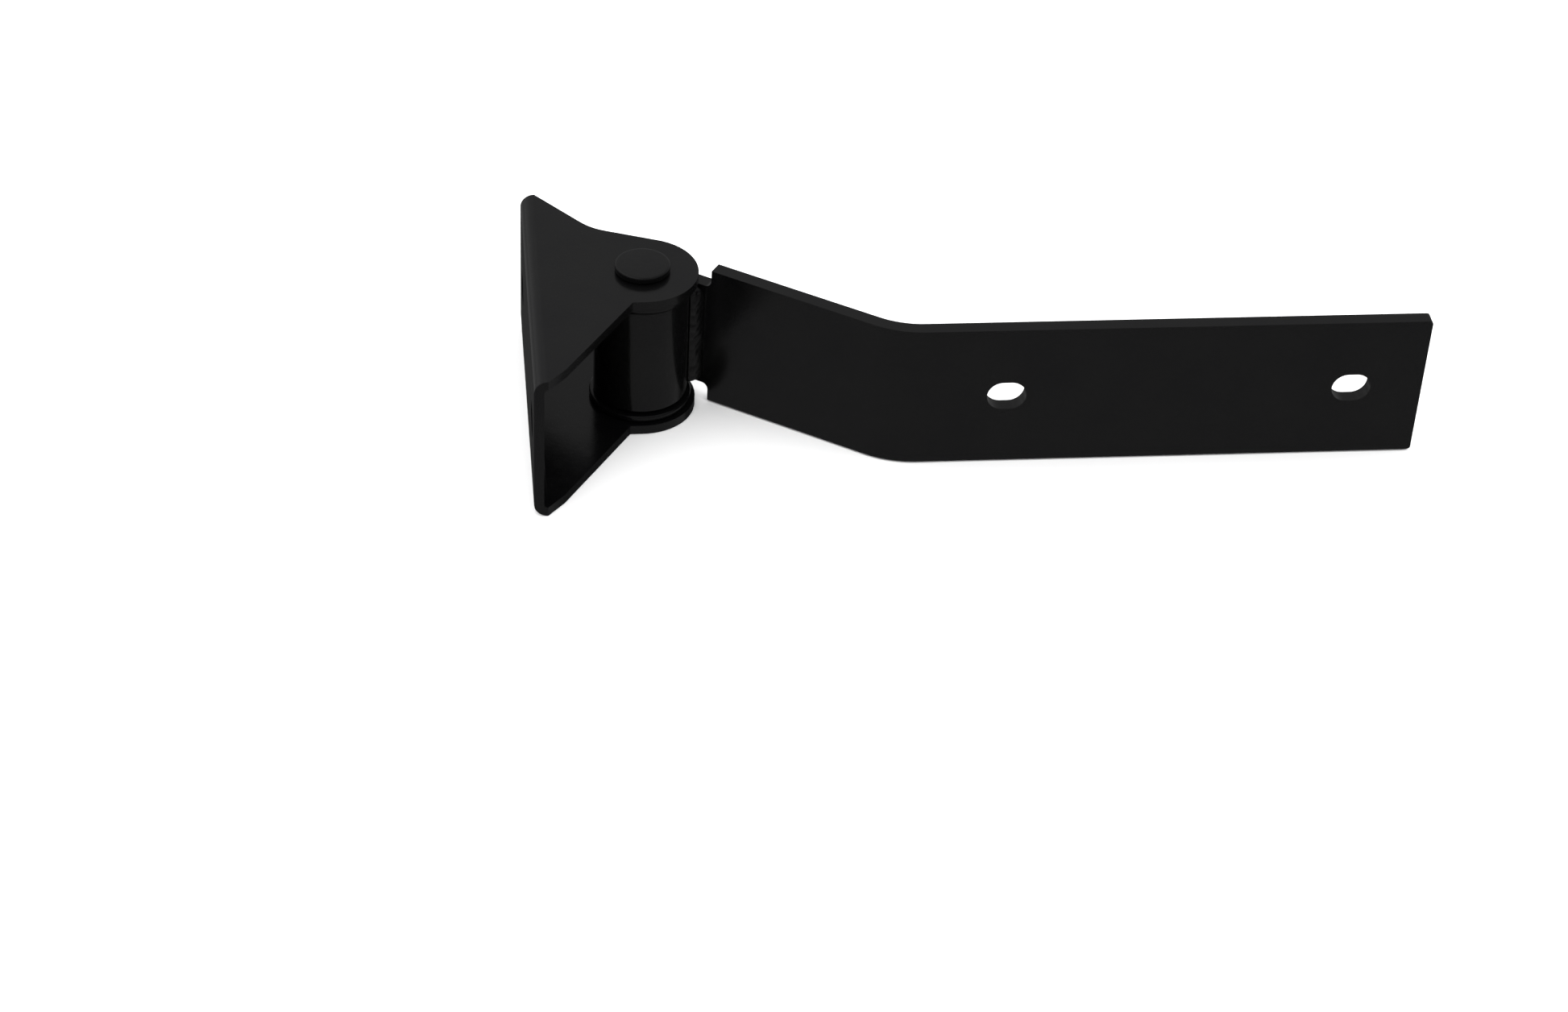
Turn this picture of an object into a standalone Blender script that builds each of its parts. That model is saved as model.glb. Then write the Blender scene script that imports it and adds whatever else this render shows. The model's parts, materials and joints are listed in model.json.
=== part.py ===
"""A heavy T hinge for a gate: a bent post bracket, a hinge pin with two thrust washers, and a cranked strap
whose narrow neck is welded to the knuckle barrel that turns on the pin.

Metres, +Z up. The pin stands upright, the bracket's web lies along Y on the -X side, and the strap's flat end
runs out along +X, a quarter turn open from the closed place. The origin is at the middle of the underside.
"""

import math

import bmesh
import bpy
from mathutils import Matrix, Vector

# ---- driving dimensions ----
# Post bracket: one plate bent into a channel, with a web and two cheeks.
BRACKET_HEIGHT = 0.0518  # outside of one cheek to outside of the other
BRACKET_PLATE = 0.0032
BRACKET_BEND_RADIUS = 0.0045  # outside of the bend
PIN_TO_MOUNTING_PLANE = 0.0371  # pin axis to the plane that both mounting faces share when the hinge is closed
WEB_NEAR_END = 0.0595  # along -Y from the pin axis
WEB_FAR_END = 0.0450  # along +Y from the pin axis
NOSE_RADIUS = 0.0180  # round end of each cheek, about the pin
NOSE_LIP = 0.0042  # straight from the nose to the inner corner of the near side
TOE_LENGTH = 0.0055  # along X, the shallow run where the near side meets the bend
FAR_SLOPE = math.radians(20.0)  # far side's straight beside the nose, off the X axis
FAR_EDGE = math.radians(49.4)  # far side's straight beside the web, off the X axis
FAR_FILLET = 0.0180

# Pin, washers, barrel and bushings, stacked between the cheeks.
PIN_DIAMETER = 0.0127
HEAD_DIAMETER = 0.0178
HEAD_THICKNESS = 0.0024
HEAD_CHAMFER = 0.0006
RIVET_DEPTH = 0.0016  # the pin's lower end is spread into a countersink this deep
RIVET_SPREAD = 0.0016  # and this much wider all round
WASHER_DIAMETER = 0.0332
WASHER_THICKNESS = 0.0026
BARREL_DIAMETER = 0.0306
BUSHING_WALL = 0.0020
BUSHING_LENGTH = 0.0150
RING_CHAMFER = 0.0004

# Strap: one flat bar, cranked so that its flat end lies in the mounting plane.
STRAP_WIDTH = 0.0508
STRAP_THICKNESS = 0.00476
STRAP_REACH = 0.2497  # pin axis to the strap's free end
CRANK_ANGLE = math.radians(33.0)
CRANK_RADIUS = 0.0260  # inside of the bend
CRANK_OFFSET = 0.01135  # pin axis to the near face of the sloping part
SHOULDER_CLEARANCE = 0.0041  # between the nose and the shoulders where the neck widens
NECK_FILLET = 0.0022
CORNER_ROUNDING = 0.0012

# Bolt slots in the strap and in the web, all from one punch.
SLOT_LENGTH = 0.0127
SLOT_WIDTH = 0.0102
STRAP_SLOT_TO_END = 0.0233
STRAP_SLOT_SPACING = 0.1122
WEB_SLOT_SPACING = 0.0720

# Welds between the neck and the barrel.
WELD_LEG = 0.0062
WELD_BULGE = 0.0008
WELD_LAP = math.radians(34.0)  # how far the far bead runs round the barrel
WELD_END_INSET = 0.0008  # bead ends, in from the neck's edges

# Clearances.
GAP = 0.0003  # between pieces that touch or turn on each other
NECK_DROP = 0.0004  # neck's edges, in from the barrel's ends

ROUND_STEPS = 96
ARC_STEP = math.radians(6.0)

# ---- sizes that follow ----
HALF_BRACKET = BRACKET_HEIGHT / 2
CHEEK_INNER = HALF_BRACKET - BRACKET_PLATE
BARREL_HALF = CHEEK_INNER - WASHER_THICKNESS - 2 * GAP
PIN_RADIUS = PIN_DIAMETER / 2
PIN_HOLE = PIN_RADIUS + GAP
BARREL_RADIUS = BARREL_DIAMETER / 2
BUSHING_RADIUS = PIN_HOLE + BUSHING_WALL
NECK_HALF = BARREL_HALF - NECK_DROP
STRAP_HALF = STRAP_WIDTH / 2
WELD_HALF = NECK_HALF - WELD_END_INSET
WELD_SEAT = BARREL_RADIUS + GAP
NECK_END = math.sqrt(WELD_SEAT**2 - CRANK_OFFSET**2)
SHOULDER_PLACE = math.sqrt((NOSE_RADIUS + SHOULDER_CLEARANCE) ** 2 - CRANK_OFFSET**2)  # along the slope
WEB_X = -PIN_TO_MOUNTING_PLANE
BEND_START_X = WEB_X + BRACKET_BEND_RADIUS
BRACKET_CLEAR = NOSE_RADIUS + BRACKET_HEIGHT  # far enough to be outside the bracket in every direction

# ---- directions and frames ----
ALONG_X = Vector((1.0, 0.0))
ALONG_Y = Vector((0.0, 1.0))
SLOPE_ALONG = Vector((math.cos(CRANK_ANGLE), -math.sin(CRANK_ANGLE)))
SLOPE_OUT = Vector((math.sin(CRANK_ANGLE), math.cos(CRANK_ANGLE)))
# Each frame's columns say where a flat outline's own X, Y and thickness point.
LYING = Matrix.Identity(4)
FACING_Y = Matrix(((1, 0, 0, 0), (0, 0, -1, 0), (0, 1, 0, 0), (0, 0, 0, 1)))
FACING_X = Matrix(((0, 0, 1, 0), (1, 0, 0, 0), (0, 1, 0, 0), (0, 0, 0, 1)))
FACING_SLOPE = Matrix.Rotation(-CRANK_ANGLE, 4, "Z") @ FACING_Y

# ---- colours and finishes: linear colour, roughness, metallic ----
POWDER_COAT = ((0.012, 0.012, 0.013), 0.28, 0.0)
BEARING_BRONZE = ((0.42, 0.25, 0.10), 0.38, 1.0)


def new_collection(name, hidden=False):
    collection = bpy.data.collections.new(name)
    collection.hide_render = hidden
    bpy.context.scene.collection.children.link(collection)
    return collection


def new_material(name, finish):
    colour, roughness, metallic = finish
    material = bpy.data.materials.new(name)
    material.use_nodes = True
    shader = material.node_tree.nodes["Principled BSDF"]
    shader.inputs["Base Color"].default_value = (*colour, 1.0)
    shader.inputs["Roughness"].default_value = roughness
    shader.inputs["Metallic"].default_value = metallic
    return material


def place(obj, collection, parent, finish=None):
    """Gives an object its collection and parent, and a piece its material and smooth shading."""
    for old in list(obj.users_collection):
        old.objects.unlink(obj)
    collection.objects.link(obj)
    obj.parent = parent
    if finish:
        obj.data.materials.append(new_material(obj.name + "_finish", finish))
        obj.data.shade_smooth()
        obj.data.set_sharp_from_angle(angle=math.radians(30.0))
    return obj


def new_pivot(name, location, parent=None):
    pivot = bpy.data.objects.new(name, None)
    pivot.empty_display_size = STRAP_WIDTH
    pivot.location = location
    bpy.context.scene.collection.objects.link(pivot)
    pivot.parent = parent
    return pivot


# ---- flat outlines ----


def arc(centre, radius, start, end):
    """Points along an arc from one angle to the other, both ends included."""
    count = max(2, math.ceil(abs(end - start) / ARC_STEP))
    turns = [start + (end - start) * i / count for i in range(count + 1)]
    return [Vector(centre) + radius * Vector((math.cos(t), math.sin(t))) for t in turns]


def rounded(corners):
    """The outline through (point, radius) corners, each rounded to its own radius."""
    points = [Vector(point) for point, _ in corners]
    outline = []
    for i, (_, radius) in enumerate(corners):
        corner = points[i]
        if radius <= 0.0:
            outline.append(corner)
            continue
        back = (points[i - 1] - corner).normalized()
        ahead = (points[(i + 1) % len(points)] - corner).normalized()
        half = back.angle(ahead) / 2
        centre = corner + (back + ahead).normalized() * radius / math.sin(half)
        first = corner + back * radius / math.tan(half) - centre
        last = corner + ahead * radius / math.tan(half) - centre
        start = math.atan2(first.y, first.x)
        turn = math.atan2(first.cross(last), first.dot(last))
        outline += arc(centre, radius, start, start + turn)
    return outline


def crossing(point_a, along_a, point_b, along_b):
    """Where two lines in a plane meet."""
    step = (point_b - point_a).cross(along_b) / along_a.cross(along_b)
    return point_a + along_a * step


def bulged(first, last, bulge):
    """An arc from one point to the other that stands out to the left of the way between them."""
    chord = last - first
    radius = (chord.length_squared / 4 + bulge**2) / (2 * bulge)
    right = Vector((chord.y, -chord.x)).normalized()
    centre = (first + last) / 2 + right * (radius - bulge)
    start = math.atan2(first.y - centre.y, first.x - centre.x)
    turn = (first - centre).angle(last - centre)
    return arc(centre, radius, start, start - turn)


def obround(centre, length, width):
    """Outline of a slot with round ends, long in its first direction."""
    reach = Vector(((length - width) / 2, 0.0))
    right = arc(Vector(centre) + reach, width / 2, -math.pi / 2, math.pi / 2)
    left = arc(Vector(centre) - reach, width / 2, math.pi / 2, 3 * math.pi / 2)
    return right + left


# ---- solids ----


def slab(name, outline, low, high, frame=LYING):
    """A closed mesh of a flat outline between two levels of its frame's thickness direction."""
    curve = bpy.data.curves.new(name + "_outline", "CURVE")
    curve.dimensions = "2D"
    curve.fill_mode = "BOTH"
    curve.extrude = (high - low) / 2
    spline = curve.splines.new("POLY")
    spline.points.add(len(outline) - 1)
    for point, spot in zip(spline.points, outline):
        point.co = (spot[0], spot[1], 0.0, 1.0)
    spline.use_cyclic_u = True
    flat = bpy.data.objects.new(name + "_outline", curve)
    bpy.context.scene.collection.objects.link(flat)
    graph = bpy.context.evaluated_depsgraph_get()
    mesh = bpy.data.meshes.new_from_object(flat.evaluated_get(graph), depsgraph=graph)
    mesh.name = name
    mesh.transform(frame @ Matrix.Translation((0.0, 0.0, (low + high) / 2)))
    bpy.data.objects.remove(flat)

    shape = bmesh.new()
    shape.from_mesh(mesh)
    bmesh.ops.remove_doubles(shape, verts=shape.verts, dist=1e-6)
    flat_enough = math.radians(0.1)
    bmesh.ops.dissolve_limit(shape, angle_limit=flat_enough, verts=shape.verts, edges=shape.edges)
    bmesh.ops.recalc_face_normals(shape, faces=shape.faces)
    shape.to_mesh(mesh)
    shape.free()
    return bpy.data.objects.new(name, mesh)


def turned(name, profile):
    """A solid turned about Z from (radius, height) points that run down its outer side."""
    links = [(i, i + 1) for i in range(len(profile) - 1)]
    if profile[0][0] > 0.0:
        links.append((len(profile) - 1, 0))
    mesh = bpy.data.meshes.new(name)
    mesh.from_pydata([(radius, 0.0, height) for radius, height in profile], links, [])
    obj = bpy.data.objects.new(name, mesh)
    screw = obj.modifiers.new("Turn", "SCREW")
    screw.axis = "Z"
    screw.angle = 2 * math.pi
    screw.steps = ROUND_STEPS
    screw.render_steps = ROUND_STEPS
    screw.use_merge_vertices = True
    screw.merge_threshold = 1e-5
    return obj


def ring(name, outer, bore, low, high):
    """A turned ring or tube, chamfered at its outer corners."""
    profile = [
        (bore, high),
        (outer - RING_CHAMFER, high),
        (outer, high - RING_CHAMFER),
        (outer, low + RING_CHAMFER),
        (outer - RING_CHAMFER, low),
        (bore, low),
    ]
    return turned(name, profile)


def cut(target, cutter, cutters, parent, operation="DIFFERENCE"):
    """Adds a Boolean by a cutter, and puts the cutter out of sight beside the piece it cuts."""
    place(cutter, cutters, parent)
    cutter.display_type = "WIRE"
    cutter.hide_render = True
    boolean = target.modifiers.new(cutter.name, "BOOLEAN")
    boolean.operation = operation
    boolean.solver = "EXACT"
    boolean.object = cutter


# ---- post bracket ----


def channel_section():
    """The bent plate seen along Y: out along the upper cheek, down the web and back along the lower cheek."""
    inner_bend = BRACKET_BEND_RADIUS - BRACKET_PLATE
    inner_x = WEB_X + BRACKET_PLATE
    return rounded(
        [
            ((BRACKET_CLEAR, HALF_BRACKET), 0.0),
            ((WEB_X, HALF_BRACKET), BRACKET_BEND_RADIUS),
            ((WEB_X, -HALF_BRACKET), BRACKET_BEND_RADIUS),
            ((BRACKET_CLEAR, -HALF_BRACKET), 0.0),
            ((BRACKET_CLEAR, -CHEEK_INNER), 0.0),
            ((inner_x, -CHEEK_INNER), inner_bend),
            ((inner_x, CHEEK_INNER), inner_bend),
            ((BRACKET_CLEAR, CHEEK_INNER), 0.0),
        ]
    )


def cheek_plan():
    """The bracket seen from above. The near side is parallel to the strap's slope when the hinge is closed."""
    lip = Vector((-NOSE_LIP, -NOSE_RADIUS))
    near_along = Vector((SLOPE_ALONG.y, -SLOPE_ALONG.x))
    toe = crossing(lip, near_along, Vector((BEND_START_X + TOE_LENGTH, 0.0)), ALONG_Y)
    near_corner = Vector((BEND_START_X, -WEB_NEAR_END))
    far_corner = Vector((BEND_START_X, WEB_FAR_END))
    nose = arc((0.0, 0.0), NOSE_RADIUS, -math.pi / 2, math.pi / 2 - FAR_SLOPE)
    slope_along = Vector((-math.cos(FAR_SLOPE), math.sin(FAR_SLOPE)))
    edge_along = Vector((-math.cos(FAR_EDGE), math.sin(FAR_EDGE)))
    waist = crossing(nose[-1], slope_along, far_corner, edge_along)
    beyond_web = Vector((WEB_X - BRACKET_PLATE, 0.0))
    corners = [(point, 0.0) for point in [near_corner, toe, lip] + nose]
    corners += [(waist, FAR_FILLET), (far_corner, 0.0)]
    corners += [(beyond_web + ALONG_Y * WEB_FAR_END, 0.0), (beyond_web - ALONG_Y * WEB_NEAR_END, 0.0)]
    return rounded(corners)


def make_bracket(parts, cutters, frame):
    far, near = WEB_FAR_END + BRACKET_PLATE, WEB_NEAR_END + BRACKET_PLATE
    bracket = slab("bracket", channel_section(), -far, near, FACING_Y)
    plan = slab("cheek_plan_cutter", cheek_plan(), -BRACKET_CLEAR, BRACKET_CLEAR)
    cut(bracket, plan, cutters, frame, "INTERSECT")

    mouth = PIN_HOLE + RIVET_SPREAD
    steep = RIVET_SPREAD / RIVET_DEPTH
    bore = [
        (0.0, BRACKET_CLEAR),
        (PIN_HOLE, BRACKET_CLEAR),
        (PIN_HOLE, -HALF_BRACKET + RIVET_DEPTH),
        (mouth + steep * GAP, -HALF_BRACKET - GAP),
        (0.0, -HALF_BRACKET - GAP),
    ]
    cut(bracket, turned("pin_bore_cutter", bore), cutters, frame)

    middle = (WEB_FAR_END - WEB_NEAR_END) / 2
    for number, side in enumerate((-1, 1), start=1):
        outline = obround((middle + side * WEB_SLOT_SPACING / 2, 0.0), SLOT_LENGTH, SLOT_WIDTH)
        low, high = WEB_X - BRACKET_PLATE, WEB_X + 2 * BRACKET_PLATE
        slot = slab(f"web_slot_cutter_{number}", outline, low, high, FACING_X)
        cut(bracket, slot, cutters, frame)
    return place(bracket, parts, frame, POWDER_COAT)


# ---- pin and washers ----


def make_pin(parts, frame):
    """A headed pin whose lower end is spread flush into the lower cheek."""
    head_radius = HEAD_DIAMETER / 2
    seat = HALF_BRACKET + GAP
    top = seat + HEAD_THICKNESS
    profile = [
        (0.0, top),
        (head_radius - HEAD_CHAMFER, top),
        (head_radius, top - HEAD_CHAMFER),
        (head_radius, seat),
        (PIN_RADIUS, seat),
        (PIN_RADIUS, -HALF_BRACKET + RIVET_DEPTH),
        (PIN_RADIUS + RIVET_SPREAD, -HALF_BRACKET),
        (0.0, -HALF_BRACKET),
    ]
    return place(turned("hinge_pin", profile), parts, frame, POWDER_COAT)


def make_washers(parts, frame):
    """The lower washer lies on the lower cheek, and the upper one under the upper cheek."""
    low = BARREL_HALF + GAP
    high = low + WASHER_THICKNESS
    for name, bottom, top in (("upper_washer", low, high), ("lower_washer", -high, -low)):
        washer = ring(name, WASHER_DIAMETER / 2, PIN_HOLE, bottom, top)
        place(washer, parts, frame, POWDER_COAT)


# ---- barrel and bushings ----


def make_barrel(parts, frame):
    barrel = ring("knuckle_barrel", BARREL_RADIUS, BUSHING_RADIUS + GAP, -BARREL_HALF, BARREL_HALF)
    place(barrel, parts, frame, POWDER_COAT)
    low = BARREL_HALF - BUSHING_LENGTH
    spans = (("upper_bushing", low, BARREL_HALF), ("lower_bushing", -BARREL_HALF, -low))
    for name, bottom, top in spans:
        place(ring(name, BUSHING_RADIUS, PIN_HOLE, bottom, top), parts, frame, BEARING_BRONZE)


# ---- strap ----


def crank_plan():
    """The strap seen from above: its near face from the neck to the free end, and its far face back."""
    flat_y = -PIN_TO_MOUNTING_PLANE
    outer_bend = CRANK_RADIUS + STRAP_THICKNESS
    corners = []
    for depth, bend in ((0.0, outer_bend), (STRAP_THICKNESS, CRANK_RADIUS)):
        neck_end = SLOPE_ALONG * NECK_END + SLOPE_OUT * (CRANK_OFFSET + depth)
        crank = crossing(neck_end, SLOPE_ALONG, Vector((0.0, flat_y + depth)), ALONG_X)
        corners.append([(neck_end, 0.0), (crank, bend), ((STRAP_REACH, flat_y + depth), 0.0)])
    near, far = corners
    return rounded(near + far[::-1])


def notch_outline(side):
    """What is cut beside the neck, as place along the slope and height."""
    inner, outer = side * NECK_HALF, side * STRAP_WIDTH
    return rounded(
        [
            ((0.0, inner), 0.0),
            ((SHOULDER_PLACE, inner), NECK_FILLET),
            ((SHOULDER_PLACE, outer), 0.0),
            ((0.0, outer), 0.0),
        ]
    )


def make_strap(parts, cutters, frame):
    strap = slab("strap", crank_plan(), -STRAP_HALF, STRAP_HALF)
    front = [
        ((0.0, -STRAP_HALF), 0.0),
        ((STRAP_REACH, -STRAP_HALF), CORNER_ROUNDING),
        ((STRAP_REACH, STRAP_HALF), CORNER_ROUNDING),
        ((0.0, STRAP_HALF), 0.0),
    ]
    front_view = slab("strap_end_cutter", rounded(front), -STRAP_REACH, STRAP_REACH, FACING_Y)
    cut(strap, front_view, cutters, frame, "INTERSECT")

    low = -(CRANK_OFFSET + 2 * STRAP_THICKNESS)
    for name, side in (("upper_notch_cutter", 1), ("lower_notch_cutter", -1)):
        notch = slab(name, notch_outline(side), low, 0.0, FACING_SLOPE)
        cut(strap, notch, cutters, frame)

    for number in (1, 2):
        centre_x = STRAP_REACH - STRAP_SLOT_TO_END - (2 - number) * STRAP_SLOT_SPACING
        outline = obround((centre_x, 0.0), SLOT_LENGTH, SLOT_WIDTH)
        near = PIN_TO_MOUNTING_PLANE + STRAP_THICKNESS
        far = PIN_TO_MOUNTING_PLANE - 2 * STRAP_THICKNESS
        slot = slab(f"strap_slot_cutter_{number}", outline, far, near, FACING_Y)
        cut(strap, slot, cutters, frame)
    return place(strap, parts, frame, POWDER_COAT)


# ---- welds ----


def bead_plans():
    """Sections of the two beads, as place along the slope and distance out from the pin, bulging away from the joint."""
    near_face = CRANK_OFFSET - GAP
    root_angle = math.asin(near_face / WELD_SEAT)
    toe_angle = root_angle - WELD_LEG / WELD_SEAT
    seat = arc((0.0, 0.0), WELD_SEAT, toe_angle, root_angle)
    strap_toe = seat[-1] + Vector((WELD_LEG, 0.0))
    near_bead = seat + bulged(strap_toe, seat[0], WELD_BULGE)[:-1]

    end_face = NECK_END - GAP
    root_angle = math.acos(end_face / WELD_SEAT)
    seat = arc((0.0, 0.0), WELD_SEAT, root_angle, root_angle + WELD_LAP)
    crown = Vector((end_face, CRANK_OFFSET + STRAP_THICKNESS))
    far_bead = seat + bulged(seat[-1], crown, WELD_BULGE)[1:]
    return near_bead, far_bead


def make_welds(parts, frame):
    turn = Matrix.Rotation(-CRANK_ANGLE, 4, "Z")
    for name, outline in zip(("near_weld_bead", "far_weld_bead"), bead_plans()):
        place(slab(name, outline, -WELD_HALF, WELD_HALF, turn), parts, frame, POWDER_COAT)


def main():
    for obj in list(bpy.data.objects):
        bpy.data.objects.remove(obj)
    parts = new_collection("t_hinge")
    cutters = new_collection("cutters", hidden=True)

    middle_x = (WEB_X + STRAP_REACH) / 2
    middle_y = (WEB_FAR_END - WEB_NEAR_END) / 2
    pin_axis = new_pivot("pin_axis", (-middle_x, -middle_y, HALF_BRACKET))
    strap_pivot = new_pivot("strap_pivot", (0.0, 0.0, 0.0), pin_axis)

    make_bracket(parts, cutters, pin_axis)
    make_pin(parts, pin_axis)
    make_washers(parts, pin_axis)
    make_barrel(parts, strap_pivot)
    make_strap(parts, cutters, strap_pivot)
    make_welds(parts, strap_pivot)


main()
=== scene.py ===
"""A heavy T hinge for a gate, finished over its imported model: a bent post bracket, a headed pin with two thrust
washers, and a cranked strap that is welded to the knuckle barrel turning on the pin.

Laid out as an add-on and run as a script. Metres, +Z up along the pin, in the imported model's own frame.
"""

import json
import math

import bmesh
import bpy
from bpy.props import FloatProperty, FloatVectorProperty, IntProperty, PointerProperty
from mathutils import Matrix, Vector

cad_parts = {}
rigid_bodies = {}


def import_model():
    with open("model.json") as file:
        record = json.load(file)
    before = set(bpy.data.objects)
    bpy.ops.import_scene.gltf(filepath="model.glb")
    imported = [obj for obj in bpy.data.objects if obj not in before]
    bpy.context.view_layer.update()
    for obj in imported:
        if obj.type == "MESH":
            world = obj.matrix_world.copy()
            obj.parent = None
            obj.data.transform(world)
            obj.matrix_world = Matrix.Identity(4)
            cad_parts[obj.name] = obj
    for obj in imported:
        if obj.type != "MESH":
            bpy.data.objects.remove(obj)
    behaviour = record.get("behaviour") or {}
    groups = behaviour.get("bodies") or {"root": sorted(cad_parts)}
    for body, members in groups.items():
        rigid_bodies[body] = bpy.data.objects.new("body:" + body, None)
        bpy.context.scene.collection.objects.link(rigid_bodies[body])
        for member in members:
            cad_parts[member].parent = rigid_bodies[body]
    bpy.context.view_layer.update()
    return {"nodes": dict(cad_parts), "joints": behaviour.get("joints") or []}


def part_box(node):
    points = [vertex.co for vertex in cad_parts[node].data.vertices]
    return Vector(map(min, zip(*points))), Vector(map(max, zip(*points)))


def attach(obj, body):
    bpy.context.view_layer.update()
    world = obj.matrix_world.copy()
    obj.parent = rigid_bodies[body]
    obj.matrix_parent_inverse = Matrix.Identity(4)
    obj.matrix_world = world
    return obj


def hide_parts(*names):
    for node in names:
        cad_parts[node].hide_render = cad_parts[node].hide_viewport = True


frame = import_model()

bl_info = {
    "name": "T hinge",
    "version": (1, 0, 0),
    "blender": (4, 5, 0),
    "location": "3D View > Sidebar > T hinge",
    "description": "Builds the plates, turned pieces, welds and finishes of a gate hinge over its packed model",
    "category": "Add Mesh",
}

PIN_FOOT = Vector(frame["joints"][0]["pos_m"])
FIXED_BODY = frame["joints"][0]["parent"]
TURNING_BODY = frame["joints"][0]["child"]

# Fits and steps that a user has no need to change.
GAP = 0.0003  # between pieces that touch or turn on each other
WELD_SEAT = GAP / 3  # between a bead and the barrel, so that the two don't share a face
ARC_STEP = math.radians(5.0)
BEND_STEP = math.radians(2.5)
TURN_STEPS = 144
EDGE_STEPS = 5
CROWN_STEPS = 8
MERGE = 1e-6
NOISE_SPREAD = (0.3, 0.7)  # between these lie nearly all of a noise texture's values
WANDER_LENGTH = 0.0045  # how fast a weld bead wavers along its length
SLIVER = 3e-6  # narrower than this between two cuts, a face of the bracket is closed up
FLAT_ENOUGH = math.radians(0.1)
CORNER = math.radians(40.0)  # a plate's edge that turns more sharply than this is rounded
HUB = 0.001  # radius of the circle that a profile is swept round, taken off again
LOBE_MIDDLE = 0.6  # about the mean height of a ripple whose top is 1
DRAWN_IN = 0.75  # how much of its section a bead has lost at each end
FLOOR_DROP = 0.0002  # keeps the floor clear of what stands on it
SIZE_SLACK = 0.0005  # how far a finished piece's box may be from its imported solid's
WELD_SLACK = 0.0012  # the same for a weld, whose ripples stand proud


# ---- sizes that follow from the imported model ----


def reach_of(node):
    """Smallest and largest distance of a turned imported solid's corners from the pin's axis."""
    reach = [(vertex.co - PIN_FOOT).xy.length for vertex in frame["nodes"][node].data.vertices]
    return min(reach), max(reach)


BRACKET_LOW, BRACKET_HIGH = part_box("bracket")
STRAP_LOW, STRAP_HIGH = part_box("strap")
PIN_CENTRE = Vector((PIN_FOOT.x, PIN_FOOT.y, (BRACKET_LOW.z + BRACKET_HIGH.z) / 2))
HALF_BRACKET = (BRACKET_HIGH.z - BRACKET_LOW.z) / 2
STRAP_HALF = (STRAP_HIGH.z - STRAP_LOW.z) / 2
MOUNTING_PLANE = STRAP_LOW.y - PIN_CENTRE.y
STRAP_END = STRAP_HIGH.x - PIN_CENTRE.x
WEB_OUTSIDE = BRACKET_LOW.x - PIN_CENTRE.x
WEB_NEAR_END = BRACKET_LOW.y - PIN_CENTRE.y
WEB_FAR_END = BRACKET_HIGH.y - PIN_CENTRE.y


# ---- nodes, colours and finishes ----


def add_node(tree, kind, sockets=None, **settings):
    """Adds a node with its settings. Each socket, by name or number, takes a value or a link from another socket."""
    made = tree.nodes.new(kind)
    for name, value in settings.items():
        setattr(made, name, value)
    for key, value in (sockets or {}).items():
        if isinstance(value, bpy.types.NodeSocket):
            tree.links.new(value, made.inputs[key])
        else:
            made.inputs[key].default_value = value
    return made


def worked_out(tree, known, steps):
    """Adds a formula, one node for each (name, operation, values) step. A value is a number or a known name."""
    for name, operation, *values in steps:
        sockets = {i: known[value] if isinstance(value, str) else value for i, value in enumerate(values)}
        known[name] = add_node(tree, "ShaderNodeMath", sockets, operation=operation).outputs[0]
    return known


def linear(code):
    """An sRGB hex value, such as 1A1A1C, as linear red, green, blue and alpha."""
    shares = [int(code[i : i + 2], 16) / 255 for i in (0, 2, 4)]
    return (*[s / 12.92 if s <= 0.04045 else ((s + 0.055) / 1.055) ** 2.4 for s in shares], 1.0)


def new_material(name):
    """A named material with its tree, its shader and the coordinates that its patterns read."""
    material = bpy.data.materials.new(name)
    material.use_nodes = True
    tree = material.node_tree
    place = add_node(tree, "ShaderNodeTexCoord").outputs["Object"]
    return material, tree, tree.nodes["Principled BSDF"], place


def noise_between(tree, place, size, low, high, detail=2.0):
    """A number that drifts between two values over patches of a real size in metres."""
    noise = add_node(tree, "ShaderNodeTexNoise", {"Vector": place, "Scale": 1 / size, "Detail": detail})
    least, most = NOISE_SPREAD
    spread = {"Value": noise.outputs["Fac"], "From Min": least, "From Max": most, "To Min": low, "To Max": high}
    return add_node(tree, "ShaderNodeMapRange", spread).outputs["Result"]


def powder_coat(name, finish, smooth, rough, coarser=1.0, deeper=1.0):
    """Black polyester powder, sprayed on blasted steel and baked. It is deep black under a gloss skin, with the
    faint ripple of orange peel in every reflection and slow changes in how well the powder flowed out. Smooth and
    rough are the two ends of its roughness. A small piece can have a coarser and deeper peel than the plates."""
    material, tree, shader, place = new_material(name)
    flow = noise_between(tree, place, finish.flow_patch, 0.0, 1.0, 3.0)
    shades = {0: flow, 6: linear("040405"), 7: linear("070707")}
    tint = add_node(tree, "ShaderNodeMix", shades, data_type="RGBA")
    gloss = noise_between(tree, place, finish.flow_patch / 3, smooth, rough)
    peel = {"Vector": place, "Scale": 1 / (coarser * finish.peel), "Detail": 1.5, "Roughness": 0.4}
    ripple = add_node(tree, "ShaderNodeTexNoise", peel).outputs["Fac"]
    bump = add_node(tree, "ShaderNodeBump", {"Height": ripple, "Distance": deeper * finish.peel_depth})
    tree.links.new(tint.outputs[2], shader.inputs["Base Color"])
    tree.links.new(gloss, shader.inputs["Roughness"])
    tree.links.new(bump.outputs["Normal"], shader.inputs["Normal"])
    shader.inputs["IOR"].default_value = 1.5
    shader.inputs["Specular IOR Level"].default_value = finish.coat_gloss
    return material


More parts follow.
